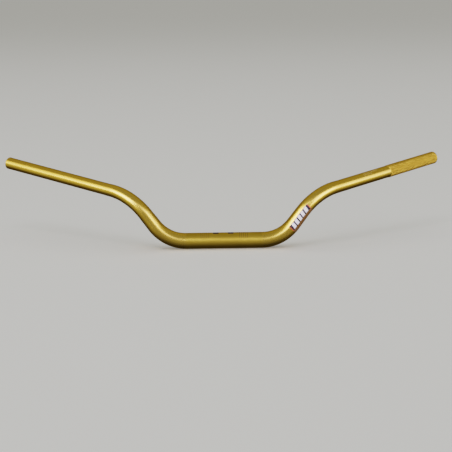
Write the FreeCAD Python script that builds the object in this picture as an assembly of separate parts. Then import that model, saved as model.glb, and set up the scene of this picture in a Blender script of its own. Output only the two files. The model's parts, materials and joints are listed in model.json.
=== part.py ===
import FreeCAD, Part
import math
import os

# Oversize, tapered motorcycle handlebar, drawn down and bent from one aluminium tube.
# Its thick middle is clamped and its thinner ends carry the grips.
#
# Frame: +X points to the rider's left hand, +Y back to the rider and +Z up.
# The origin is on the axis of the clamped middle, halfway between the two ends.
#
# Each half of the centreline runs out from the origin in five stretches:
# the clamped middle, the riser bend, the riser, the grip bend and the grip.
# Lengths are in millimetres and angles in degrees.

# Tube
clamp_diameter = 28.6
clamp_wall = 4.0
grip_diameter = 22.2
grip_wall = 3.8

# Centreline
clamp_length = 136.0
riser_bend_radius = 70.0
riser_bend_angle = 53.0
riser_lean_back = 3.5
riser_length = 27.0
grip_bend_radius = 88.0
grip_sweep_back = 33.0
grip_rise = 7.4
grip_length = 248.0

# Taper: it starts this far past the clamped middle and ends this far past the grip bend
taper_start = 4.0
taper_end = 14.0

# Ends of the tube
end_chamfer = 1.5
bore_chamfer = 0.8

# Raised band for the knurl, on the left grip only
knurl_length = 117.0
knurl_to_end = 3.0
knurl_rise = 0.5

# Sections that the tube is swept through: the greatest distance between two, and the arcs of each
section_spacing = 10.0
section_arcs = 4


class Run:
    """A straight stretch. The tube leads along the Z axis of the starting placement."""

    def __init__(self, station, start, length):
        self.station = station
        self.start = start
        self.length = length

    def at(self, distance):
        """Placement of the tube's section at a distance from the start of the stretch."""
        step = FreeCAD.Placement(FreeCAD.Vector(0, 0, distance), FreeCAD.Rotation())
        return self.start.multiply(step)

    def path(self, reach):
        """Centreline from the start of the stretch as far as its reach."""
        return Part.Wire([Part.LineSegment(self.at(0).Base, self.at(reach).Base).toShape()])


class Bend:
    """A circular stretch that turns the tube to a new direction without twisting it."""

    def __init__(self, station, start, direction, radius):
        heading = start.Rotation.multVec(FreeCAD.Vector(0, 0, 1))
        self.station = station
        self.start = start
        self.radius = radius
        self.axis = heading.cross(direction).normalize()
        self.centre = start.Base + self.axis.cross(heading) * radius
        self.length = radius * heading.getAngle(direction)

    def at(self, distance):
        """Placement of the tube's section at a distance from the start of the stretch."""
        turn = FreeCAD.Rotation(self.axis, math.degrees(distance / self.radius))
        about_centre = FreeCAD.Placement(FreeCAD.Vector(), turn, self.centre)
        return about_centre.multiply(self.start)

    def path(self, reach):
        """Centreline from the start of the stretch as far as its reach."""
        points = [self.at(share * reach).Base for share in (0.0, 0.5, 1.0)]
        return Part.Wire([Part.Arc(*points).toShape()])


class Centreline:
    """The left half of the tube's centreline, from the middle of the bar to its end."""

    def __init__(self):
        along_x = FreeCAD.Rotation(FreeCAD.Vector(0, 0, 1), FreeCAD.Vector(1, 0, 0))
        self.clamp = Run(0.0, FreeCAD.Placement(FreeCAD.Vector(), along_x), clamp_length / 2)
        self.riser_bend = Bend(*end_of(self.clamp), riser_direction(), riser_bend_radius)
        self.riser = Run(*end_of(self.riser_bend), riser_length)
        self.grip_bend = Bend(*end_of(self.riser), grip_direction(), grip_bend_radius)
        self.grip = Run(*end_of(self.grip_bend), grip_length)


def end_of(stretch):
    """Station and placement where a stretch ends and the next one starts."""
    return stretch.station + stretch.length, stretch.at(stretch.length)


def riser_direction():
    """Unit vector up the left riser, leaned back towards the rider."""
    up = math.radians(riser_bend_angle)
    back = math.radians(riser_lean_back)
    return FreeCAD.Vector(math.cos(up), math.sin(up) * math.sin(back), math.sin(up) * math.cos(back))


def grip_direction():
    """Unit vector along the left grip, swept back and slightly rising."""
    sweep = math.radians(grip_sweep_back)
    rise = math.radians(grip_rise)
    return FreeCAD.Vector(math.cos(rise) * math.cos(sweep), math.cos(rise) * math.sin(sweep), math.sin(rise))


class Surface:
    """One surface of the tube, outside or bore: wide in the middle and narrow at the grips."""

    def __init__(self, line, clamp_radius, grip_radius):
        self.line = line
        self.clamp_radius = clamp_radius
        self.grip_radius = grip_radius
        self.taper_from = line.riser_bend.station + taper_start
        self.taper_to = line.grip.station + taper_end

    def radius_at(self, station):
        """Radius at a distance from the middle of the bar. The tube thins evenly over the taper."""
        share = (station - self.taper_from) / (self.taper_to - self.taper_from)
        share = min(max(share, 0.0), 1.0)
        return self.clamp_radius + (self.grip_radius - self.clamp_radius) * share

    def section(self, stretch, distance):
        """Round section of the surface at a distance along a stretch, in equal arcs."""
        radius = self.radius_at(stretch.station + distance)
        circle = Part.Circle(FreeCAD.Vector(), FreeCAD.Vector(0, 0, 1), radius)
        turns = [2.0 * math.pi * step / section_arcs for step in range(section_arcs + 1)]
        arcs = [Part.ArcOfCircle(circle, *span).toShape() for span in zip(turns, turns[1:])]
        wire = Part.Wire(arcs)
        wire.Placement = stretch.at(distance)
        return wire

    def swept(self, stretch, reach):
        """Solid of a stretch as far as its reach, swept along the centreline through its sections."""
        count = math.ceil(reach / section_spacing)
        distances = [reach * step / count for step in range(count + 1)]
        sections = [self.section(stretch, distance) for distance in distances]
        return stretch.path(reach).makePipeShell(sections, True, False)

    def middle(self):
        """Solid of the clamped middle, straight between the two riser bends."""
        half = self.line.clamp.length
        start = FreeCAD.Vector(-half, 0, 0)
        return Part.makeCylinder(self.clamp_radius, 2 * half, start, FreeCAD.Vector(1, 0, 0))

    def wing(self, end_profile):
        """Solids of the left wing, from the riser bend to the end of the bar."""
        bent = (self.line.riser_bend, self.line.riser, self.line.grip_bend)
        swept = [self.swept(stretch, stretch.length) for stretch in bent]
        return swept + [self.swept(self.line.grip, taper_end), self.grip(end_profile)]

    def grip(self, end_profile):
        """Turned solid of the left grip past the taper, with the last points of its profile given.

        Each point is a pair: the distance from the end of the bar and the radius.
        """
        past_taper = self.line.grip.length - taper_end
        profile = [(past_taper, 0.0), (past_taper, self.grip_radius)] + end_profile + [(0.0, 0.0)]
        points = [FreeCAD.Vector(radius, 0, -to_end) for to_end, radius in profile]
        outline = Part.makePolygon(points + points[:1])
        solid = Part.Face(outline).revolve(FreeCAD.Vector(), FreeCAD.Vector(0, 0, 1), 360)
        solid.Placement = self.line.grip.at(self.line.grip.length)
        return solid


def mirrored(solids):
    """The right-hand twins of left-hand solids."""
    return [solid.mirror(FreeCAD.Vector(), FreeCAD.Vector(1, 0, 0)) for solid in solids]


def outer_solid(line):
    """The bar as a solid rod: the knurl's band on the left grip, and both ends chamfered."""
    outside = Surface(line, clamp_diameter / 2, grip_diameter / 2)
    radius = outside.grip_radius
    crest = radius + knurl_rise
    knurl_from = knurl_to_end + knurl_length
    band = [(knurl_from, radius), (knurl_from, crest), (knurl_to_end, crest), (knurl_to_end, radius)]
    chamfer = [(end_chamfer, radius), (0.0, radius - end_chamfer)]
    return outside.middle().fuse(outside.wing(band + chamfer) + mirrored(outside.wing(chamfer)))


def bore_solid(line):
    """The hollow through the whole bar, chamfered at both mouths."""
    bore = Surface(line, clamp_diameter / 2 - clamp_wall, grip_diameter / 2 - grip_wall)
    mouth = [(bore_chamfer, bore.grip_radius), (0.0, bore.grip_radius + bore_chamfer)]
    wing = bore.wing(mouth)
    return bore.middle().fuse(wing + mirrored(wing))


def handlebar():
    """The whole bar: one bent, tapered tube."""
    line = Centreline()
    return outer_solid(line).cut(bore_solid(line))


os.makedirs("parts", exist_ok=True)
tube = handlebar()
tube.exportStep("parts/handlebar_tube.step")
print("handlebar_tube", tube.isValid(), len(tube.Solids), "solid", round(tube.Volume / 1000, 2), "cm3")
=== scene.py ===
"""Looks of a one-piece motorcycle handlebar in gold anodised aluminium.

All sizes are in metres, and angles are in degrees where no docstring says radians. All places are
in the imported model's frame: +X to the rider's left hand, +Y back to the rider and +Z up, with the
origin on the axis of the clamped middle.
A place on the tube is given by its station, the distance along the centreline from the middle
of the bar, and by its angle round the tube, 0 at the front and 90 degrees at the top.
"""

import json
import logging
import math
from collections.abc import Iterable, Sequence
from dataclasses import dataclass, field
from enum import Enum, IntEnum

import bpy
from mathutils import Matrix, Quaternion, Vector


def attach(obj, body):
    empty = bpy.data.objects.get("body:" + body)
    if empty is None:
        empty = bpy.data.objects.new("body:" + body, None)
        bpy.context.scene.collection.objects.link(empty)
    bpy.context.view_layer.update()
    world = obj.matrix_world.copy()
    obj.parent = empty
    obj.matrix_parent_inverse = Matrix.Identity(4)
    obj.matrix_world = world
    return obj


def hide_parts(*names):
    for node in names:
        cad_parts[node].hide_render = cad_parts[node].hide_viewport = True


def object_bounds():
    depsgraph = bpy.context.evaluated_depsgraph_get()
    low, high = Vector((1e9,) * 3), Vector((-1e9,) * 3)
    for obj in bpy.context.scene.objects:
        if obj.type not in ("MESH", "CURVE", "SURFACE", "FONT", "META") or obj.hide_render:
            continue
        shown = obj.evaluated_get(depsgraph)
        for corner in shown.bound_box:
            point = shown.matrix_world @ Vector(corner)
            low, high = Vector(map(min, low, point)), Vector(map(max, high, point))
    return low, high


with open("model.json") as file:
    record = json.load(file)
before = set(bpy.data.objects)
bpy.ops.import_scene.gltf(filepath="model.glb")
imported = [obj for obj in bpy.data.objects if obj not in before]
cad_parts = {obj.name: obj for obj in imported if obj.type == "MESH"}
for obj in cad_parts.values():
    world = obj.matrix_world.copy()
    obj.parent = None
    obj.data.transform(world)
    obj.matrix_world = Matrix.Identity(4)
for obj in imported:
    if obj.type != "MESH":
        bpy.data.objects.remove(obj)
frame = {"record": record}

CAD_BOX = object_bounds()
LOG = logging.getLogger("handlebar")
BODY = "root"
MM = 0.001
PRINT_THICKNESS = 0.00003

# Most values of a noise lie between these two
NOISE_REACH = (0.3, 0.7)

Socket = bpy.types.NodeSocket
Colour = tuple[float, float, float]
Place = tuple[float, float, float]
Reach = tuple[float, float]
Stops = tuple[tuple[float, float], ...]
Value = Socket | Colour | float


class Zone(IntEnum):
    """Zones of the tube's surface, each with a finish of its own."""

    DRAWN = 0
    KNURL = 1
    BORE = 2


class Mixed(Enum):
    """What a mix node mixes, by Blender's name for it."""

    NUMBER = "FLOAT"
    COLOUR = "RGBA"


@dataclass(frozen=True)
class Section:
    """A round section of the tube: its centre and three directions that turn with the tube."""

    centre: Vector
    front: Vector
    up: Vector
    along: Vector

    def moved(self, distance: float) -> "Section":
        """The section pushed straight along the tube."""
        return Section(self.centre + self.along * distance, self.front, self.up, self.along)

    def turned(self, pivot: Vector, axis: Vector, angle: float) -> "Section":
        """The section swung about an axis.

        Args:
            pivot: A point of the axis.
            axis: Unit vector along the axis.
            angle: Angle in radians.

        Returns:
            The section in its new place.
        """
        swing = Matrix.Rotation(angle, 3, axis)
        centre = pivot + swing @ (self.centre - pivot)
        return Section(centre, swing @ self.front, swing @ self.up, swing @ self.along)

    def mirrored(self) -> "Section":
        """The same section on the other half of the bar."""
        flip = Matrix.Diagonal((-1.0, 1.0, 1.0))
        return Section(flip @ self.centre, flip @ self.front, flip @ self.up, flip @ -self.along)

    def point(self, radius: float, angle: float) -> Vector:
        """Point at a radius and at an angle in radians round the section."""
        return self.centre + radius * (math.cos(angle) * self.front + math.sin(angle) * self.up)


@dataclass(frozen=True)
class Stretch:
    """A straight or circular stretch of the centreline."""

    station: float
    start: Section
    length: float
    radius: float = math.inf
    axis: Vector | None = None

    @classmethod
    def bend(cls, station: float, start: Section, heading: Vector, radius: float) -> "Stretch":
        """A bend of a radius that turns the tube to a heading.

        Args:
            station: Station where the bend starts.
            start: Section where the bend starts.
            heading: Unit vector that the tube follows after the bend.
            radius: Radius of the centreline.

        Returns:
            The bend.
        """
        axis = start.along.cross(heading).normalized()
        return cls(station, start, radius * start.along.angle(heading), radius, axis)

    @property
    def end(self) -> float:
        """Station where the stretch ends."""
        return self.station + self.length

    @property
    def finish(self) -> tuple[float, Section]:
        """Station and section where the stretch ends and the next one starts."""
        return self.end, self.section(self.length)

    def section(self, distance: float) -> Section:
        """Section at a distance from the start of the stretch.

        Args:
            distance: Distance along the centreline.

        Returns:
            The section.
        """
        if self.axis is None:
            return self.start.moved(distance)
        pivot = self.start.centre + self.axis.cross(self.start.along) * self.radius
        return self.start.turned(pivot, self.axis, distance / self.radius)


@dataclass
class CentreLine:
    """Centreline of the bar: clamped middle, riser bends, risers, grip bends and grips."""

    clamp_length: float = 0.136
    riser_bend_radius: float = 0.070
    riser_bend_angle: float = 53.0
    riser_lean_back: float = 3.5
    riser_length: float = 0.027
    grip_bend_radius: float = 0.088
    grip_sweep_back: float = 33.0
    grip_rise: float = 7.4
    grip_length: float = 0.248
    stretches: list[Stretch] = field(init=False)

    def __post_init__(self) -> None:
        """Lays the five stretches of the left half end to end."""
        middle = Section(Vector(), Vector((0, -1, 0)), Vector((0, 0, 1)), Vector((1, 0, 0)))
        clamp = Stretch(0.0, middle, self.clamp_length / 2)
        riser_bend = Stretch.bend(*clamp.finish, self.riser_heading(), self.riser_bend_radius)
        riser = Stretch(*riser_bend.finish, self.riser_length)
        grip_bend = Stretch.bend(*riser.finish, self.grip_heading(), self.grip_bend_radius)
        grip = Stretch(*grip_bend.finish, self.grip_length)
        self.stretches = [clamp, riser_bend, riser, grip_bend, grip]

    @property
    def end(self) -> float:
        """Station of the end of the bar."""
        return self.stretches[-1].end

    @property
    def riser_bend_start(self) -> float:
        """Station where the riser bend starts."""
        return self.stretches[1].station

    @property
    def grip_start(self) -> float:
        """Station where the straight grip starts."""
        return self.stretches[-1].station

    def riser_heading(self) -> Vector:
        """Unit vector up the left riser."""
        up, back = math.radians(self.riser_bend_angle), math.radians(self.riser_lean_back)
        return Vector((math.cos(up), math.sin(up) * math.sin(back), math.sin(up) * math.cos(back)))

    def grip_heading(self) -> Vector:
        """Unit vector along the left grip."""
        sweep, rise = math.radians(self.grip_sweep_back), math.radians(self.grip_rise)
        return Vector((math.cos(rise) * math.cos(sweep), math.cos(rise) * math.sin(sweep), math.sin(rise)))

    def section(self, station: float) -> Section:
        """Section at a station.

        Args:
            station: The station, negative on the right half of the bar.

        Returns:
            The section.
        """
        distance = abs(station)
        stretch = next(one for one in reversed(self.stretches) if distance >= one.station)
        found = stretch.section(distance - stretch.station)
        return found.mirrored() if station < 0.0 else found

    def marks(self, straight_step: float, bend_step: float, stop: float) -> list[float]:
        """Stations of one half, close together in the bends.

        Args:
            straight_step: Greatest distance between two stations on a straight stretch.
            bend_step: Greatest distance between two stations on a bend.
            stop: The last station.

        Returns:
            Rising stations from 0 to stop.
        """
        found = [0.0]
        for stretch in self.stretches:
            finish = min(stretch.end, stop)
            step = straight_step if stretch.axis is None else bend_step
            count = max(1, math.ceil((finish - stretch.station) / step))
            share = (finish - stretch.station) / count
            found += [stretch.station + share * (place + 1) for place in range(count)]
        return found


@dataclass
class TubeForm:
    """Outside and bore of the drawn-down tube: thick in the middle and thin at the grips."""

    line: CentreLine
    clamp_radius: float = 0.0143
    clamp_wall: float = 0.0040
    grip_radius: float = 0.0111
    grip_wall: float = 0.0038
    taper_start: float = 0.004
    taper_end: float = 0.014

    def thinned(self, station: float) -> float:
        """How far the tube is drawn down.

        Args:
            station: Station of the section.

        Returns:
            A share, from 0 in the middle of the bar to 1 at the grips.
        """
        start = self.line.riser_bend_start + self.taper_start
        finish = self.line.grip_start + self.taper_end
        return min(max((abs(station) - start) / (finish - start), 0.0), 1.0)

    def outside(self, station: float) -> float:
        """Radius of the outside at a station."""
        return self.clamp_radius + (self.grip_radius - self.clamp_radius) * self.thinned(station)

    def bore(self, station: float) -> float:
        """Radius of the bore at a station."""
        wide, narrow = self.clamp_radius - self.clamp_wall, self.grip_radius - self.grip_wall
        return wide + (narrow - wide) * self.thinned(station)


@dataclass(frozen=True)
class Grain:
    """How fine a noise is: grains in a metre along and across the tube, and octaves of finer noise."""

    along: float
    across: float
    detail: float = 2.0


class NodeBench:
    """A node tree at work, with short ways to add nodes and join them."""

    def __init__(self, tree: bpy.types.NodeTree) -> None:
        """Takes up a node tree."""
        self.tree = tree
        self.nodes = tree.nodes

    def feed(self, target: Socket, value: Value) -> None:
        """Gives a socket its value.

        Args:
            target: The socket.
            value: A number, a colour or the socket that the value comes from.
        """
        if isinstance(value, float):
            target.default_value = value
        elif isinstance(value, tuple):
            target.default_value = (*value, 1.0)
        else:
            self.tree.links.new(value, target)

    def parts(self, vector: Socket) -> tuple[Socket, ...]:
        """Splits a vector.

        Args:
            vector: Socket with the vector.

        Returns:
            Sockets with its three coordinates.
        """
        node = self.nodes.new("ShaderNodeSeparateXYZ")
        self.feed(node.inputs[0], vector)
        return tuple(node.outputs)

    def unsigned(self, number: Socket) -> Socket:
        """Takes a number's sign away.

        Args:
            number: Socket with the number.

        Returns:
            The socket with the result.
        """
        node = self.nodes.new("ShaderNodeMath")
        node.operation = "ABSOLUTE"
        self.feed(node.inputs[0], number)
        return node.outputs[0]

    def spread(self, source: Socket, result: Reach, reach: Reach = NOISE_REACH) -> Socket:
        """Maps a value smoothly onto a range.

        Args:
            source: Socket with the value.
            result: Results where the value is at the two ends of its reach.
            reach: Values between which the result changes.

        Returns:
            The socket with the result.
        """
        node = self.nodes.new("ShaderNodeMapRange")
        node.interpolation_type = "SMOOTHSTEP"
        node.inputs["From Min"].default_value, node.inputs["From Max"].default_value = reach
        node.inputs["To Min"].default_value, node.inputs["To Max"].default_value = result
        self.feed(node.inputs["Value"], source)
        return node.outputs["Result"]

    def mix(self, kind: Mixed, share: Socket, first: Value, second: Value) -> Socket:
        """Goes from a first value to a second one as a share goes from 0 to 1.

        Args:
            kind: What is mixed.
            share: Socket with the share.
            first: The first value.
            second: The second value.

        Returns:
            The socket with the mix.
        """
        node = self.nodes.new("ShaderNodeMix")
        node.data_type = kind.value
        for name, value in (("Factor", share), ("A", first), ("B", second)):
            self.feed(node.inputs[name], value)
        return node.outputs["Result"]


class FinishBench(NodeBench):
    """The node tree of one material, round its shader."""

    def __init__(self, name: str) -> None:
        """Starts a material that holds one shader and its output.

        Args:
            name: The material's name.
        """
        self.material = bpy.data.materials.new(name)
        self.material.use_nodes = True
        super().__init__(self.material.node_tree)

    def surface_place(self) -> Socket:
        """Place on the unrolled tube: station, and two coordinates across the tube.

        Returns:
            The place's socket.
        """
        node = self.nodes.new("ShaderNodeAttribute")
        node.attribute_name = TubeSkin.PLACE
        return node.outputs["Vector"]

    def noise(self, place: Socket, grain: Grain) -> Socket:
        """Smooth noise over the surface.

        Args:
            place: Socket with the place on the unrolled tube.
            grain: How fine the noise is.

        Returns:
            The noise's socket, from 0 to 1.
        """
        scaled = self.nodes.new("ShaderNodeVectorMath")
        scaled.operation = "MULTIPLY"
        scaled.inputs[1].default_value = (grain.along, grain.across, grain.across)
        self.feed(scaled.inputs[0], place)
        node = self.nodes.new("ShaderNodeTexNoise")
        node.inputs["Scale"].default_value = 1.0
        node.inputs["Detail"].default_value = grain.detail
        self.feed(node.inputs["Vector"], scaled.outputs[0])
        return node.outputs["Fac"]

    def middle_mask(self, place: Socket, half: float, feather: float) -> Socket:
        """A mask that is 1 on the clamped middle and 0 on the wings.

        Args:
            place: Socket with the place on the unrolled tube.
            half: Distance from the middle of the bar to the mask's edge.
            feather: Width over which the edge fades.

        Returns:
            The mask's socket.
        """
        distance = self.unsigned(self.parts(place)[0])
        return self.spread(distance, (1.0, 0.0), (half - feather / 2, half + feather / 2))

    def mottle(self, noise: Socket, light: Colour, deep: Colour) -> Socket:
        """A colour that goes from light to deep as a noise rises."""
        return self.mix(Mixed.COLOUR, self.spread(noise, (0.0, 1.0)), light, deep)

    def relief(self, height: Socket, depth: float, strength: float) -> Socket:
        """Fine relief, for the shader's normal.

        Args:
            height: Socket with the height, from 0 to 1.
            depth: The height in metres that 1 stands for.
            strength: Share of the relief that shows.

        Returns:
            The normal's socket.
        """
        node = self.nodes.new("ShaderNodeBump")
        node.inputs["Distance"].default_value = depth
        node.inputs["Strength"].default_value = strength
        self.feed(node.inputs["Height"], height)
        return node.outputs["Normal"]

    def finish(self, values: dict[str, Value]) -> bpy.types.Material:
        """Fills the shader's sockets.

        Args:
            values: Values by the sockets' names.

        Returns:
            The material.
        """
        shader = self.nodes["Principled BSDF"]
        for name, value in values.items():
            self.feed(shader.inputs[name], value)
        return self.material


@dataclass(frozen=True)
class GoldAnodising:
    """Dyed and sealed aluminium: satin on the wings and grit-blasted on the clamped middle.

    The satin's drawn lines are far lower than the grit's pits, by the share line_height.
    """

    blasted_half: float
    blasted_feather: float = 0.006
    light: Colour = (0.81, 0.52, 0.060)
    deep: Colour = (0.76, 0.48, 0.052)
    dull_light: Colour = (0.61, 0.405, 0.038)
    dull_deep: Colour = (0.55, 0.36, 0.032)
    rim: Colour = (0.96, 0.74, 0.16)
    satin: Reach = (0.265, 0.28)
    blasted: Reach = (0.34, 0.43)
    satin_seal: float = 0.5
    blasted_seal: float = 0.35
    seal_roughness: float = 0.20
    seal_index: float = 1.5
    clouds: Grain = Grain(28.0, 90.0, 3.0)
    lines: Grain = Grain(9.0, 2600.0)
    grit: Grain = Grain(2100.0, 2100.0)
    line_height: float = 0.012
    relief_depth: float = 0.00003
    relief_strength: float = 0.5

    def material(self) -> bpy.types.Material:
        """Makes the finish of the drawn outside.

        Returns:
            The material.
        """
        bench = FinishBench("gold_anodised_drawn")
        place = bench.surface_place()
        middle = bench.middle_mask(place, self.blasted_half, self.blasted_feather)
        clouds, lines, grit = (bench.noise(place, one) for one in (self.clouds, self.lines, self.grit))
        bright = bench.mottle(clouds, self.light, self.deep)
        dull = bench.mottle(clouds, self.dull_light, self.dull_deep)
        satin, blasted = bench.spread(lines, self.satin), bench.spread(grit, self.blasted)
        height = bench.mix(Mixed.NUMBER, middle, bench.spread(lines, (0.0, self.line_height)), grit)
        return bench.finish({
            "Base Color": bench.mix(Mixed.COLOUR, middle, bright, dull),
            "Metallic": 1.0,
            "Roughness": bench.mix(Mixed.NUMBER, middle, satin, blasted),
            "Normal": bench.relief(height, self.relief_depth, self.relief_strength),
            "Specular Tint": self.rim,
            "Coat Weight": bench.mix(Mixed.NUMBER, middle, self.satin_seal, self.blasted_seal),
            "Coat Roughness": self.seal_roughness,
            "Coat IOR": self.seal_index,
        })


@dataclass(frozen=True)
class KnurledGoldWithPaintedShade:
    """The same anodising on the cut knurl: rougher, duller and a little uneven, with painted shade of its
    grooves in its colours.
    """

    # Base colours below the drawn gold's: partly the knurl's duller oxide, partly painted shade of the
    # grooves.
    light: Colour = (0.63, 0.403, 0.048)
    deep: Colour = (0.54, 0.339, 0.036)
    # Dark rim tint: painted shade that darkens the knurl where it is seen at a slant, in place of the
    # grooves hiding one another.
    rim: Colour = (0.36, 0.23, 0.04)
    roughness: Reach = (0.45, 0.56)
    clouds: Grain = Grain(120.0, 240.0, 3.0)
    grit: Grain = Grain(1900.0, 1900.0, 1.0)

    def material(self) -> bpy.types.Material:
        """Makes the finish of the knurl, with painted groove shade in its base colour and rim tint.

        Returns:
            The material.
        """
        bench = FinishBench("gold_anodised_knurl_painted_shade")
        place = bench.surface_place()
        return bench.finish({
            # Painted groove shade, together with the duller oxide's own colour.
            "Base Color": bench.mottle(bench.noise(place, self.clouds), self.light, self.deep),
            "Metallic": 1.0,
            "Roughness": bench.spread(bench.noise(place, self.grit), self.roughness),
            # Painted shade at slanting angles.
            "Specular Tint": self.rim,
        })


@dataclass(frozen=True)
class BoreFinish:
    """Inside of the tube: drawn, anodised with the rest and left dull."""

    light: Colour = (0.52, 0.37, 0.10)
    deep: Colour = (0.40, 0.28, 0.07)
    roughness: Reach = (0.47, 0.65)
    lines: Grain = Grain(14.0, 700.0, 1.0)
    relief_depth: float = 0.00001
    relief_strength: float = 0.3

    def material(self) -> bpy.types.Material:
        """Makes the finish of the bore.

        Returns:
            The material.
        """
        bench = FinishBench("gold_anodised_bore")
        lines = bench.noise(bench.surface_place(), self.lines)
        return bench.finish({
            "Base Color": bench.mottle(lines, self.light, self.deep),
            "Metallic": 1.0,
            "Roughness": bench.spread(lines, self.roughness),
            "Normal": bench.relief(lines, self.relief_depth, self.relief_strength),
        })


@dataclass(frozen=True)
class Ink:
    """A printed, lacquered or etched mark with a slightly uneven face."""

    name: str
    light: Colour
    deep: Colour
    roughness: float
    metallic: float = 0.0
    coat: float = 0.0
    gloss: float = 0.5
    coat_roughness: float = 0.1
    unevenness: Reach = (-0.04, 0.06)
    specks: Grain = Grain(300.0, 300.0)

    def material(self) -> bpy.types.Material:
        """Makes the finish of the mark.

        Returns:
            The material.
        """
        bench = FinishBench(self.name)
        specks = bench.noise(bench.surface_place(), self.specks)
        smooth, rough = (self.roughness + part for part in self.unevenness)
        return bench.finish({
            "Base Color": bench.mottle(specks, self.light, self.deep),
            "Metallic": self.metallic,
            "Roughness": bench.spread(specks, (smooth, rough)),
            "Specular IOR Level": self.gloss,
            "Coat Weight": self.coat,
            "Coat Roughness": self.coat_roughness,
        })


class TubeSkin:
    """Collects points and faces of a mesh that lies on the tube, with their unrolled places."""

    PLACE = "tube_place"
    SHARP = math.radians(28.0)

    def __init__(self, form: TubeForm) -> None:
        """Starts an empty mesh on a tube.

        Args:
            form: The tube's form.
        """
        self.form = form
        self.points: list[Vector] = []
        self.places: list[Place] = []
        self.faces: list[tuple[int, ...]] = []
        self.zones: list[int] = []

    def add(self, station: float, radius: float, angle: float) -> int:
        """Adds a point.

        Args:
            station: Station of the point.
            radius: Distance from the centreline.
            angle: Angle round the tube in radians.

        Returns:
            The point's number.
        """
        self.points.append(self.form.line.section(station).point(radius, angle))
        self.places.append((station, radius * math.cos(angle), radius * math.sin(angle)))
        return len(self.points) - 1

    def ring(self, station: float, radius: float, count: int) -> list[int]:
        """Adds a ring of points round the tube and returns their numbers."""
        return [self.add(station, radius, math.tau * step / count) for step in range(count)]

    def face(self, corners: Iterable[int], zone: int) -> None:
        """Adds a face with its corners in order and the number of its finish."""
        self.faces.append(tuple(corners))
        self.zones.append(int(zone))

    def bridge(self, rings: Sequence[Sequence[int]], zone: int) -> None:
        """Joins closed rings of the same count by bands of faces, one after another.

        Args:
            rings: The rings' points.
            zone: Number of the bands' finish.
        """
        for first, second in zip(rings, rings[1:]):
            count = len(first)
            for step in range(count):
                following = (step + 1) % count
                self.face((first[step], second[step], second[following], first[following]), zone)

    def build(
        self, name: str, finishes: Sequence[bpy.types.Material], flat_zones: Sequence[int] = ()
    ) -> bpy.types.Object:
        """Makes the Blender object.

        Args:
            name: The piece's name.
            finishes: Materials in the order of the faces' zone numbers.
            flat_zones: Zones whose facets stay flat.

        Returns:
            The new object, in the scene.
        """
        mesh = bpy.data.meshes.new(name)
        mesh.from_pydata([tuple(point) for point in self.points], [], self.faces)
        for finish in finishes:
            mesh.materials.append(finish)
        mesh.polygons.foreach_set("material_index", self.zones)
        mesh.polygons.foreach_set("use_smooth", [zone not in flat_zones for zone in self.zones])
        place = mesh.attributes.new(self.PLACE, "FLOAT_VECTOR", "POINT")
        place.data.foreach_set("vector", [number for spot in self.places for number in spot])
        mesh.update()
        mesh.set_sharp_from_angle(angle=self.SHARP)
        piece = bpy.data.objects.new(name, mesh)
        bpy.context.scene.collection.objects.link(piece)
        return piece


@dataclass(frozen=True)
class Knurl:
    """Diamond knurl rolled into the left grip: blunt four-sided points between V-grooves."""

    length: float = 0.117
    to_end: float = 0.003
    crest_radius: float = 0.0116
    groove_radius: float = 0.01147
    round_count: int = 60
    row_count: int = 58
    blunt: float = 0.62
    run_out: float = 0.00035

    def roll(self, skin: TubeSkin, first: float) -> tuple[list[int], list[int]]:
        """Adds the knurl to the tube's mesh.

        Args:
            skin: The mesh.
            first: Station where the knurl starts.

        Returns:
            The knurl's first and last rings, of twice round_count points each.
        """
        around, rows = 2 * self.round_count, 2 * self.row_count
        pitch, turn = self.length / rows, math.tau / around

        def spot(row: float, column: float, radius: float) -> int:
            """Adds a point of the knurl's lattice."""
            return skin.add(first + row * pitch, radius, column * turn)

        grooves = {
            (row, column): spot(row, column, self.groove_radius)
            for row in range(rows + 1)
            for column in range(row % 2, around, 2)
        }
        first_ring, last_ring = (
            [
                grooves[row, column] if (row, column) in grooves else spot(row, column, self.crest_radius)
                for column in range(around)
            ]
            for row in (0, rows)
        )
        for row in range(rows + 1):
            for column in range((row + 1) % 2, around, 2):
                south = grooves[row, (column - 1) % around]
                north = grooves[row, (column + 1) % around]
                if row == 0:
                    east, tip = grooves[1, column], first_ring[column]
                    skin.face((south, east, tip), Zone.KNURL)
                    skin.face((east, north, tip), Zone.KNURL)
                elif row == rows:
                    west, tip = grooves[rows - 1, column], last_ring[column]
                    skin.face((west, south, tip), Zone.KNURL)
                    skin.face((north, west, tip), Zone.KNURL)
                else:
                    west, east = grooves[row - 1, column], grooves[row + 1, column]
                    foot = (west, south, east, north)
                    top = [
                        spot(row + self.blunt * over, column + self.blunt * across, self.crest_radius)
                        for over, across in ((-1, 0), (0, -1), (1, 0), (0, 1))
                    ]
                    for side in range(4):
                        following = (side + 1) % 4
                        skin.face((foot[side], foot[following], top[following], top[side]), Zone.KNURL)
                    skin.face(top, Zone.KNURL)
        return first_ring, last_ring


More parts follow.
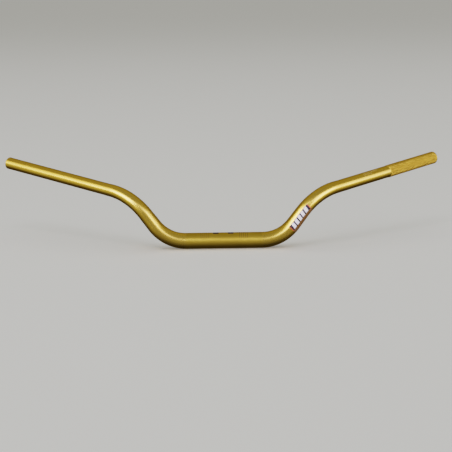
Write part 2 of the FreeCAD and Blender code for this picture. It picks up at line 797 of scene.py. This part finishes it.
@dataclass(frozen=True)
class EndCut:
    """How the tube is cut off and chamfered at each end."""

    end_chamfer: float = 0.0015
    bore_chamfer: float = 0.0008
    edge_softening: float = 0.00035
    corner_steps: int = 4
    reach: float = 0.0022

    def profile(self, form: TubeForm) -> list[tuple[float, float]]:
        """Profile of the cut end, from the outside round to the bore.

        Args:
            form: The tube's form.

        Returns:
            Pairs of the distance to the end of the bar and the radius.
        """
        outside, bore = form.grip_radius, form.grip_radius - form.grip_wall
        corners = [
            (self.reach, outside),
            (self.end_chamfer, outside),
            (0.0, outside - self.end_chamfer),
            (0.0, bore + self.bore_chamfer),
            (self.bore_chamfer, bore),
            (self.reach, bore),
        ]
        softened = [corners[0]]
        for before, corner, after in zip(corners, corners[1:], corners[2:]):
            softened += self.softened(Vector(before), Vector(corner), Vector(after))
        return softened + [corners[-1]]

    def softened(self, before: Vector, corner: Vector, after: Vector) -> list[tuple[float, float]]:
        """Rounds one corner of the profile.

        Args:
            before: The corner before this one.
            corner: The corner to round.
            after: The corner after this one.

        Returns:
            Points of the rounded corner.
        """
        start = corner + (before - corner).normalized() * self.edge_softening
        finish = corner + (after - corner).normalized() * self.edge_softening
        points = []
        for step in range(self.corner_steps + 1):
            share = step / self.corner_steps
            point = start.lerp(corner, share).lerp(corner.lerp(finish, share), share)
            points.append((point.x, point.y))
        return points


@dataclass
class HandlebarTube:
    """The bar itself: one bent, tapered tube, open at both ends, with a knurl on the left grip."""

    form: TubeForm
    knurl: Knurl = field(default_factory=Knurl)
    cut: EndCut = field(default_factory=EndCut)
    straight_step: float = 0.010
    bend_step: float = 0.0022
    bore_straight_step: float = 0.060
    bore_bend_step: float = 0.006

    def build(self) -> bpy.types.Object:
        """Makes the tube as one closed mesh and dresses it.

        Returns:
            The new object.
        """
        line, count = self.form.line, 2 * self.knurl.round_count
        skin = TubeSkin(self.form)
        knurl_from = line.end - self.knurl.to_end - self.knurl.length
        knurl_to = line.end - self.knurl.to_end
        plain_end = line.end - self.cut.reach
        right = [-station for station in line.marks(self.straight_step, self.bend_step, plain_end)]
        left = line.marks(self.straight_step, self.bend_step, knurl_from - self.knurl.run_out)

        stations = right[:0:-1] + left
        rings = [skin.ring(station, self.form.outside(station), count) for station in stations]
        skin.bridge(rings, Zone.DRAWN)
        first, last = self.knurl.roll(skin, knurl_from)
        skin.bridge([rings[-1], first], Zone.KNURL)
        beyond = skin.ring(knurl_to + self.knurl.run_out, self.form.grip_radius, count)
        skin.bridge([last, beyond], Zone.KNURL)

        left_face, left_mouth = self.face_rings(skin, 1.0, count)
        skin.bridge([beyond] + left_face, Zone.DRAWN)
        right_face, right_mouth = self.face_rings(skin, -1.0, count)
        skin.bridge(right_face[::-1] + [rings[0]], Zone.DRAWN)

        stations = line.marks(self.bore_straight_step, self.bore_bend_step, plain_end)
        inside = [skin.ring(station, self.form.bore(station), count) for station in stations[-2::-1]]
        inside += [skin.ring(-station, self.form.bore(station), count) for station in stations[1:-1]]
        skin.bridge(left_mouth + inside + right_mouth[::-1], Zone.BORE)

        gold = GoldAnodising(line.clamp_length / 2)
        finishes = [gold.material(), KnurledGoldWithPaintedShade().material(), BoreFinish().material()]
        piece = skin.build("handlebar_tube_skin", finishes, (Zone.KNURL,))
        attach(piece, BODY)
        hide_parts("handlebar_tube")
        return piece

    def face_rings(
        self, skin: TubeSkin, side: float, count: int
    ) -> tuple[list[list[int]], list[list[int]]]:
        """Rings of a cut end, from the outside to the bore's chamfer and from there into the bore.

        Args:
            skin: The mesh.
            side: 1 for the left end and -1 for the right end, whose outermost ring is there already.
            count: Points in a ring.

        Returns:
            The rings' points in two lists, where the last ring of the first starts the second.
        """
        profile = self.cut.profile(self.form)
        kept = profile if side > 0 else profile[1:]
        end = self.form.line.end
        rings = [skin.ring(side * (end - to_end), radius, count) for to_end, radius in kept]
        mouth = len(rings) - self.cut.corner_steps - 2
        return rings[: mouth + 1], rings[mouth:]


@dataclass(frozen=True)
class Patch:
    """A four-cornered patch on the tube, with its corners as pairs of station and angle."""

    corners: tuple[tuple[float, float], ...]
    zone: int = 0
    lift: float = 0.0
    thickness: float = PRINT_THICKNESS
    step: float = 0.0012

    @classmethod
    def rectangle(cls, stations: Reach, angles: Reach, thickness: float = PRINT_THICKNESS) -> "Patch":
        """A patch between two stations and two angles."""
        (start, finish), (low, high) = stations, angles
        return cls(((start, low), (finish, low), (finish, high), (start, high)), thickness=thickness)

    def lay(self, skin: TubeSkin) -> None:
        """Adds the patch to a mesh as a thin closed slab that follows the tube.

        Args:
            skin: The mesh.
        """
        low, far, high, near = self.corners
        length = max(abs(far[0] - low[0]), abs(high[0] - near[0]))
        width = max(abs(near[1] - low[1]), abs(high[1] - far[1]))
        columns = math.ceil(length / self.step)
        rows = math.ceil(math.radians(width) * skin.form.clamp_radius / self.step)
        under = self.sheet(skin, self.lift, rows, columns)
        over = self.sheet(skin, self.lift + self.thickness, rows, columns)
        for row in range(rows):
            for column in range(columns):
                cell = ((row, column), (row, column + 1), (row + 1, column + 1), (row + 1, column))
                skin.face((over[r][c] for r, c in cell), self.zone)
                skin.face((under[r][c] for r, c in reversed(cell)), self.zone)
        rim = [(0, c) for c in range(columns)] + [(r, columns) for r in range(rows)]
        rim += [(rows, c) for c in range(columns, 0, -1)] + [(r, 0) for r in range(rows, 0, -1)]
        for (r0, c0), (r1, c1) in zip(rim, rim[1:] + rim[:1]):
            skin.face((under[r0][c0], under[r1][c1], over[r1][c1], over[r0][c0]), self.zone)

    def sheet(self, skin: TubeSkin, height: float, rows: int, columns: int) -> list[list[int]]:
        """Adds the points of one side of the slab.

        Args:
            skin: The mesh.
            height: Height of the side above the tube.
            rows: Faces across the patch.
            columns: Faces along the patch.

        Returns:
            The points' numbers, row by row.
        """
        low, far, high, near = self.corners
        sheet = []
        for row in range(rows + 1):
            up = row / rows
            strip = []
            for column in range(columns + 1):
                over = column / columns
                station, angle = (
                    (low[axis] * (1 - over) + far[axis] * over) * (1 - up)
                    + (near[axis] * (1 - over) + high[axis] * over) * up
                    for axis in (0, 1)
                )
                strip.append(skin.add(station, skin.form.outside(station) + height, math.radians(angle)))
            sheet.append(strip)
        return sheet


def laid_piece(name: str, form: TubeForm, patches: Iterable[Patch], inks: Sequence[Ink]) -> bpy.types.Object:
    """Makes one piece from patches and lets it ride with the tube.

    Args:
        name: The piece's name.
        form: The tube's form.
        patches: The patches.
        inks: Finishes in the order of the patches' zone numbers.

    Returns:
        The new object.
    """
    skin = TubeSkin(form)
    for patch in patches:
        patch.lay(skin)
    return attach(skin.build(name, [ink.material() for ink in inks]), BODY)


@dataclass
class ClampMarks:
    """Setting marks on the clamped middle: graduation lines each side and two plain dark bars."""

    form: TubeForm
    line_stations: tuple[float, ...] = (0.0275, 0.0310, 0.0345, 0.0380, 0.0415)
    line_width: float = 0.0005
    line_reach: Reach = (30.0, 122.0)
    bars: tuple[Reach, ...] = ((-0.0200, -0.0100), (0.0070, 0.0165))
    bar_reach: Reach = (69.0, 108.0)

    def build(self) -> list[bpy.types.Object]:
        """Makes the graduation lines and the bars.

        Returns:
            The two new objects.
        """
        half = self.line_width / 2
        lines = [
            Patch.rectangle((side * station - half, side * station + half), self.line_reach)
            for side in (-1.0, 1.0)
            for station in self.line_stations
        ]
        bars = [Patch.rectangle(bar, self.bar_reach) for bar in self.bars]
        dark = Ink("graduation_etching", (0.16, 0.075, 0.012), (0.11, 0.05, 0.01), 0.5, metallic=0.6)
        black = Ink("black_print", (0.014, 0.011, 0.009), (0.026, 0.021, 0.017), 0.45, gloss=0.15)
        return [
            laid_piece("clamp_graduations", self.form, lines, [dark]),
            laid_piece("clamp_centre_marks", self.form, bars, [black]),
        ]


@dataclass
class RiserLabel:
    """Printed film on the left riser: slanted white blocks on black, with red short edges.

    Its two angles are those at the label's lower and upper end. The film reaches below the print.
    """

    form: TubeForm
    start: float = 0.1246
    finish: float = 0.1752
    top: Reach = (23.0, 25.0)
    print_bottom: Reach = (-27.0, -24.0)
    film_bottom: Reach = (-84.0, -84.0)
    border: float = 0.0015
    margin: float = 2.0
    blocks: int = 5
    gap: float = 0.0026
    slant: float = 0.0022

    def build(self) -> list[bpy.types.Object]:
        """Makes the label.

        Returns:
            The new object, in a list.
        """
        film, red, black, white = range(4)
        inner_start, inner_finish = self.start + self.border, self.finish - self.border
        patches = [
            self.strip((self.start, self.finish), self.film_bottom, film, 0),
            self.strip((self.start, inner_start), self.print_bottom, red, 1),
            self.strip((inner_finish, self.finish), self.print_bottom, red, 1),
            self.strip((inner_start, inner_finish), self.print_bottom, black, 1, self.margin),
        ]
        pitch = (inner_finish - inner_start - self.slant - self.gap) / self.blocks
        for number in range(self.blocks):
            left = inner_start + self.gap + number * pitch
            ends = (left, left + pitch - self.gap)
            patches.append(self.strip(ends, self.print_bottom, white, 2, 2.0 * self.margin, self.slant))
        inks = [
            Ink("label_film", (0.31, 0.155, 0.043), (0.29, 0.145, 0.040), 0.32, metallic=0.6, coat=0.25),
            Ink("label_red", (0.50, 0.085, 0.022), (0.42, 0.065, 0.02), 0.35, coat=0.6),
            Ink("label_black", (0.020, 0.016, 0.010), (0.030, 0.024, 0.015), 0.45, coat=0.1, gloss=0.2),
            Ink("label_white", (0.83, 0.79, 0.62), (0.75, 0.71, 0.56), 0.35, coat=0.6),
        ]
        return [laid_piece("riser_label", self.form, patches, inks)]

    def edge(self, pair: Reach, station: float) -> float:
        """Angle of a sloping long edge of the label at a station."""
        share = (station - self.start) / (self.finish - self.start)
        return pair[0] + (pair[1] - pair[0]) * share

    def strip(
        self, ends: Reach, bottom: Reach, zone: int, layer: int, inset: float = 0.0, slant: float = 0.0
    ) -> Patch:
        """A patch across the label between two stations.

        Args:
            ends: Stations of the two ends of its lower edge.
            bottom: Angles of that edge at the label's two ends.
            zone: Number of its finish.
            layer: Number of the layers of print under it.
            inset: Degrees that it keeps from the label's upper and lower edge.
            slant: How far its upper edge is shifted along the tube.

        Returns:
            The patch.
        """
        start, finish = ends
        corners = (
            (start, self.edge(bottom, start) + inset),
            (finish, self.edge(bottom, finish) + inset),
            (finish + slant, self.edge(self.top, finish) - inset),
            (start + slant, self.edge(self.top, start) - inset),
        )
        return Patch(corners, zone, layer * PRINT_THICKNESS)


@dataclass
class LeverScale:
    """Fine etched setting scale on the left grip, before the knurl: long ticks and then short dashes."""

    form: TubeForm
    start: float = 0.3045
    pitch: float = 0.0040
    tick_count: int = 5
    dash_count: int = 4
    tick_width: float = 0.0009
    dash_width: float = 0.0020
    tick_reach: Reach = (25.0, 62.0)
    dash_reach: Reach = (44.0, 58.0)
    thickness: float = 0.00002

    def build(self) -> list[bpy.types.Object]:
        """Makes the scale.

        Returns:
            The new object, in a list.
        """
        ticks = [self.mark(number, self.tick_width, self.tick_reach) for number in range(self.tick_count)]
        past = range(self.tick_count, self.tick_count + self.dash_count)
        dashes = [self.mark(number, self.dash_width, self.dash_reach) for number in past]
        ink = Ink("etched_scale", (0.76, 0.54, 0.16), (0.68, 0.48, 0.13), 0.55, metallic=0.8)
        return [laid_piece("lever_setting_scale", self.form, ticks + dashes, [ink])]

    def mark(self, number: int, width: float, reach: Reach) -> Patch:
        """One mark of the scale, by its number, its width along the tube and its two angles."""
        middle = self.start + number * self.pitch
        return Patch.rectangle((middle - width / 2, middle + width / 2), reach, self.thickness)


def direction(azimuth: float, elevation: float) -> Vector:
    """Unit vector from the bar towards a light or the camera.

    Args:
        azimuth: Degrees from straight in front, positive towards the rider's left hand.
        elevation: Degrees above the horizon.

    Returns:
        The vector.
    """
    turn, lift = math.radians(azimuth), math.radians(elevation)
    return Vector((math.sin(turn) * math.cos(lift), -math.cos(turn) * math.cos(lift), math.sin(lift)))


@dataclass(frozen=True)
class SoftLight:
    """A rectangular soft box that faces the bar.

    A box that is seen in the gloss shapes the bar's highlights and doesn't light the floor.
    """

    name: str
    azimuth: float
    elevation: float
    distance: float
    width: float
    height: float
    radiance: float
    colour: Colour = (1.0, 1.0, 1.0)
    roll: float = 0.0
    seen_in_gloss: bool = True

    def build(self, target: Vector, unlit: bpy.types.Collection) -> None:
        """Hangs the light.

        Args:
            target: Point that it faces.
            unlit: Collection of what a box that is seen in the gloss doesn't light.
        """
        lamp = bpy.data.lights.new(self.name, "AREA")
        lamp.shape = "RECTANGLE"
        lamp.size, lamp.size_y = self.width, self.height
        lamp.energy = self.radiance * math.pi * self.width * self.height
        lamp.color = self.colour
        light = bpy.data.objects.new(self.name, lamp)
        bpy.context.scene.collection.objects.link(light)
        away = direction(self.azimuth, self.elevation)
        light.location = target + away * self.distance
        facing = away.to_track_quat("Z", "Y") @ Quaternion((0, 0, 1), math.radians(self.roll))
        light.rotation_euler = facing.to_euler()
        light.visible_glossy = self.seen_in_gloss
        light.visible_camera = False
        if self.seen_in_gloss:
            light.light_linking.receiver_collection = unlit


@dataclass(frozen=True)
class PhotoCamera:
    """The camera, placed as the photograph was taken."""

    azimuth: float = -0.9925
    elevation: float = 12.3636
    roll: float = -0.6231
    distance: float = 1.98164
    target: Place = (0.0034826, 0.0, 0.0262359)
    focal_pixels: float = 1107.93
    picture_pixels: float = 452.0
    sensor: float = 36.0
    nearest: float = 0.05
    farthest: float = 400.0

    def build(self) -> None:
        """Sets up the camera and makes it the scene's."""
        data = bpy.data.cameras.new("photo_camera")
        data.sensor_width = self.sensor
        data.sensor_fit = "HORIZONTAL"
        data.lens = self.sensor * self.focal_pixels / self.picture_pixels
        data.clip_start, data.clip_end = self.nearest, self.farthest
        camera = bpy.data.objects.new("photo_camera", data)
        bpy.context.scene.collection.objects.link(camera)
        back, roll = direction(self.azimuth, self.elevation), math.radians(self.roll)
        level_right = (-back).cross(Vector((0, 0, 1))).normalized()
        level_up = level_right.cross(-back)
        right = level_right * math.cos(roll) + level_up * math.sin(roll)
        up = level_up * math.cos(roll) - level_right * math.sin(roll)
        pose = Matrix((right, up, back)).transposed().to_4x4()
        pose.translation = Vector(self.target) + back * self.distance
        camera.matrix_world = pose
        bpy.context.scene.camera = camera


@dataclass
class Studio:
    """Plain pale floor, soft light and the camera.

    The light of the room is given as pairs of elevation and radiance, in front of the bar, at its
    sides and behind it, and fades from one to the next. Each light has its name, azimuth, elevation,
    distance, width, height, radiance, colour and roll.
    """

    floor_gap: float = 0.00002
    floor_half: float = 60.0
    floor_colour: Colour = (0.755, 0.755, 0.765)
    floor_roughness: float = 0.9
    floor_glow: Colour = (0.17, 0.17, 0.172)
    backdrop: Colour = (0.46, 0.46, 0.465)
    front_colour: Colour = (0.96, 1.0, 1.12)
    front_room: Stops = (
        (-90.0, 0.03), (-60.0, 0.08), (-44.0, 0.14), (-30.0, 0.22),
        (-12.0, 0.29), (5.0, 0.33), (60.0, 0.31), (90.0, 0.34),
    )
    side_colour: Colour = (1.0, 0.99, 0.78)
    side_room: Stops = (
        (-90.0, 0.03), (-60.0, 0.06), (-44.0, 0.15), (-30.0, 0.40), (-15.0, 0.61), (5.0, 0.41), (90.0, 0.33),
    )
    side_fade: Reach = (0.3, 0.7)
    back_colour: Colour = (1.02, 0.94, 0.60)
    back_room: Stops = (
        (-90.0, 0.03), (-60.0, 0.04), (-30.0, 0.06), (-8.0, 0.10), (8.0, 0.17),
        (30.0, 0.22), (50.0, 0.34), (65.0, 0.37), (90.0, 0.34),
    )
    back_fade: Reach = (-0.31, 0.29)
    target: Place = (0.0, 0.05, 0.05)
    lights: tuple[SoftLight, ...] = (
        SoftLight("right_hand_soft_box", -55.0, 21.5, 5.0, 5.4, 3.7, 1.95, (1.03, 0.92, 1.10), -18.0),
        SoftLight("right_hand_lamp", -47.0, 17.0, 4.9, 3.6, 2.4, 3.9, (0.97, 0.93, 2.15), -20.0),
        SoftLight("right_hand_high_box", -25.0, 27.0, 5.0, 3.0, 1.8, 3.2, (0.97, 0.93, 1.80)),
        SoftLight("left_hand_soft_box", 57.0, 12.0, 5.0, 5.4, 3.8, 1.7, (1.02, 0.91, 1.60), 17.0),
        SoftLight("left_hand_lamp", 49.0, 9.0, 4.9, 3.6, 2.4, 3.6, (1.0, 0.90, 1.70), 19.0),
        SoftLight("left_hand_high_box", 25.0, 26.0, 5.0, 3.0, 1.7, 2.2, (0.99, 0.91, 1.80)),
        SoftLight("overhead_light", 0.0, 84.0, 5.0, 9.0, 9.0, 0.55, seen_in_gloss=False),
        SoftLight("overhead_key", -25.0, 62.0, 3.0, 1.2, 1.2, 2.4, seen_in_gloss=False),
    )
    transform: str = "Filmic"
    look: str = "Medium High Contrast"
    exposure: float = -0.2

    def build(self) -> None:
        """Builds the stage round the bar."""
        floor = self.floor()
        self.world()
        unlit = bpy.data.collections.new("unlit_by_gloss_boxes")
        unlit.objects.link(floor)
        unlit.collection_objects[0].light_linking.link_state = "EXCLUDE"
        for light in self.lights:
            light.build(Vector(self.target), unlit)
        PhotoCamera().build()
        view = bpy.context.scene.view_settings
        view.view_transform, view.look, view.exposure = self.transform, self.look, self.exposure

    def floor(self) -> bpy.types.Object:
        """Lays the faintly glowing floor, which the bar doesn't mirror, just below the bar.

        Returns:
            The floor.
        """
        half, height = self.floor_half, CAD_BOX[0][2] - self.floor_gap
        mesh = bpy.data.meshes.new("studio_floor")
        corners = [(x * half, y * half, height) for x, y in ((-1, -1), (1, -1), (1, 1), (-1, 1))]
        mesh.from_pydata(corners, [], [(0, 1, 2, 3)])
        mesh.materials.append(FinishBench("studio_floor").finish({
            "Base Color": self.floor_colour,
            "Roughness": self.floor_roughness,
            "Specular IOR Level": 0.0,
            "Emission Color": self.floor_glow,
            "Emission Strength": 1.0,
        }))
        plane = bpy.data.objects.new("studio_floor", mesh)
        bpy.context.scene.collection.objects.link(plane)
        plane.visible_glossy = False
        return plane

    def world(self) -> None:
        """Lights the room from all round and shows the camera a plain backdrop."""
        world = bpy.data.worlds.new("studio")
        world.use_nodes = True
        bench = NodeBench(world.node_tree)
        x, y, z = bench.parts(bench.nodes.new("ShaderNodeTexCoord").outputs["Generated"])
        height = bench.nodes.new("ShaderNodeMapRange")
        height.inputs["From Min"].default_value = -1.0
        bench.feed(height.inputs["Value"], z)
        front, side, back = (
            self.room(bench, height.outputs["Result"], stops, colour)
            for stops, colour in (
                (self.front_room, self.front_colour),
                (self.side_room, self.side_colour),
                (self.back_room, self.back_colour),
            )
        )
        aside = bench.spread(bench.unsigned(x), (0.0, 1.0), self.side_fade)
        behind = bench.spread(y, (0.0, 1.0), self.back_fade)
        light = bench.mix(Mixed.COLOUR, aside, front, side)
        light = bench.mix(Mixed.COLOUR, behind, light, back)
        seen = bench.nodes.new("ShaderNodeLightPath").outputs["Is Camera Ray"]
        shown = bench.mix(Mixed.COLOUR, seen, light, self.backdrop)
        bench.feed(bench.nodes["Background"].inputs["Color"], shown)
        bpy.context.scene.world = world

    def room(self, bench: NodeBench, height: Socket, stops: Stops, colour: Colour) -> Socket:
        """Adds a ramp of the room's light by elevation.

        Args:
            bench: The world's node tree.
            height: Socket that is 0 straight below and 1 straight above.
            stops: Pairs of elevation in degrees and radiance, from straight below upwards.
            colour: Colour of the light.

        Returns:
            The ramp's socket.
        """
        ramp = bench.nodes.new("ShaderNodeValToRGB")
        elements = ramp.color_ramp.elements
        while len(elements) < len(stops):
            elements.new(1.0)
        for element, (elevation, radiance) in zip(elements, stops):
            element.position = (math.sin(math.radians(elevation)) + 1.0) / 2.0
            element.color = (*(radiance * part for part in colour), 1.0)
        bench.feed(ramp.inputs["Fac"], height)
        return ramp.outputs["Color"]


def check_against_record(form: TubeForm, tolerance: float = 0.00001) -> None:
    """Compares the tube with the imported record's mounts.

    Args:
        form: The tube's form.
        tolerance: Greatest difference that passes.

    Raises:
        ValueError: If a mount isn't where the tube has it.
    """
    mounts = {mount["name"]: mount for mount in frame["record"]["mounts"]}
    line, knurl = form.line, Knurl()
    middle = line.end - knurl.to_end - knurl.length / 2
    expected = {
        "clamp_zone": (line.section(0.0).centre, form.clamp_radius),
        "left_grip_seat": (line.section(middle).centre, knurl.crest_radius),
    }
    for name, (centre, radius) in expected.items():
        mount = mounts[name]
        off = (Vector(mount["pos_m"]) - centre).length
        if max(off, abs(mount["dims"]["r_mm"] * MM - radius)) > tolerance:
            raise ValueError(f"{name} is {off / MM:.3f} mm from where the tube has it")


def main() -> None:
    """Builds the bar, its marks and the studio, and reports each piece."""
    logging.basicConfig(level=logging.INFO, format="%(name)s: %(message)s")
    form = TubeForm(CentreLine())
    check_against_record(form)
    pieces = [HandlebarTube(form).build()]
    for maker in (ClampMarks(form), RiserLabel(form), LeverScale(form)):
        pieces += maker.build()
    Studio().build()
    for piece in pieces:
        LOG.info("%s: %d points, %d faces", piece.name, len(piece.data.vertices), len(piece.data.polygons))


if __name__ == "__main__":
    main()
